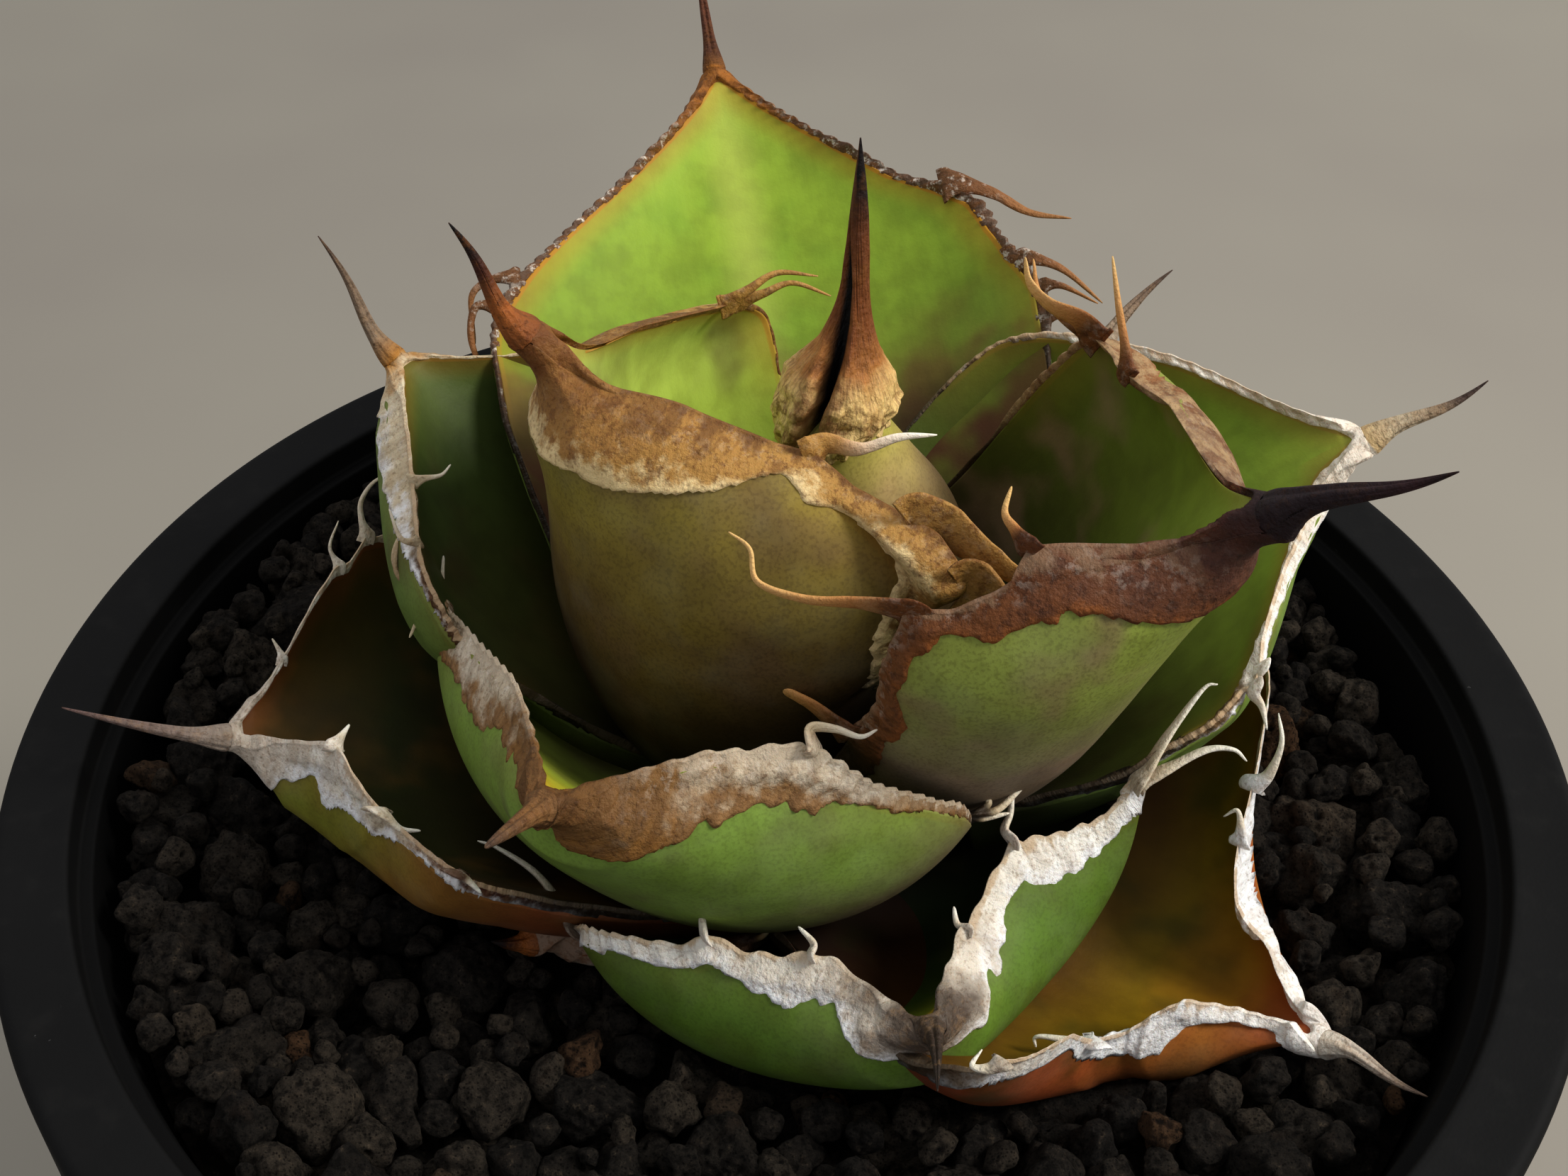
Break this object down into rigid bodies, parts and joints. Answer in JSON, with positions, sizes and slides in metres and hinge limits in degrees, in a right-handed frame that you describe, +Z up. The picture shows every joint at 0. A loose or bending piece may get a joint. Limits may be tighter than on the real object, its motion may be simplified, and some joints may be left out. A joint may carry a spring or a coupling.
{
  "type": "potted agave",
  "caption": "Compact agave rosette with short, cupped, horny-margined leaves and long end spines, in a round black plastic pot topped with crushed lava.",
  "frame": {"origin": "centre of the pot's underside", "axes": "+Z up along the pot's axis; the picture looks along +Y and down, with +X to its right"},
  "size_m": [0.12, 0.122, 0.1545],
  "materials": {
    "leaf_flesh": "firm succulent flesh: smooth, faintly waxy skin, olive to fresh green, flushed pinkish brown",
    "horny_margin": "dry horn: grey-white to tan, finely ribbed and knobbly, brown to black on the spines",
    "stem": "short woody stem and root stock, brown and fibrous",
    "pot_plastic": "matte black moulded plastic with a few pale water marks",
    "lava_gravel": "crushed black lava, dull and full of pores, some stones brown"
  },
  "bodies": {
    "root": {"leaf_01_bud": "leaf_flesh", "leaf_02": "leaf_flesh", "leaf_03": "leaf_flesh", "leaf_04": "leaf_flesh", "leaf_05": "leaf_flesh", "leaf_06": "leaf_flesh", "leaf_07": "leaf_flesh", "leaf_08": "leaf_flesh", "leaf_09": "leaf_flesh", "leaf_10": "leaf_flesh", "leaf_11": "leaf_flesh", "leaf_12": "leaf_flesh", "leaf_13": "leaf_flesh", "border_01_bud": "horny_margin", "border_02": "horny_margin", "border_03": "horny_margin", "border_04": "horny_margin", "border_05": "horny_margin", "border_06": "horny_margin", "border_07": "horny_margin", "border_08": "horny_margin", "border_09": "horny_margin", "border_10": "horny_margin", "border_11": "horny_margin", "border_12": "horny_margin", "border_13": "horny_margin", "stem": "stem", "pot": "pot_plastic", "soil": "lava_gravel"}
  },
  "joints": []
}
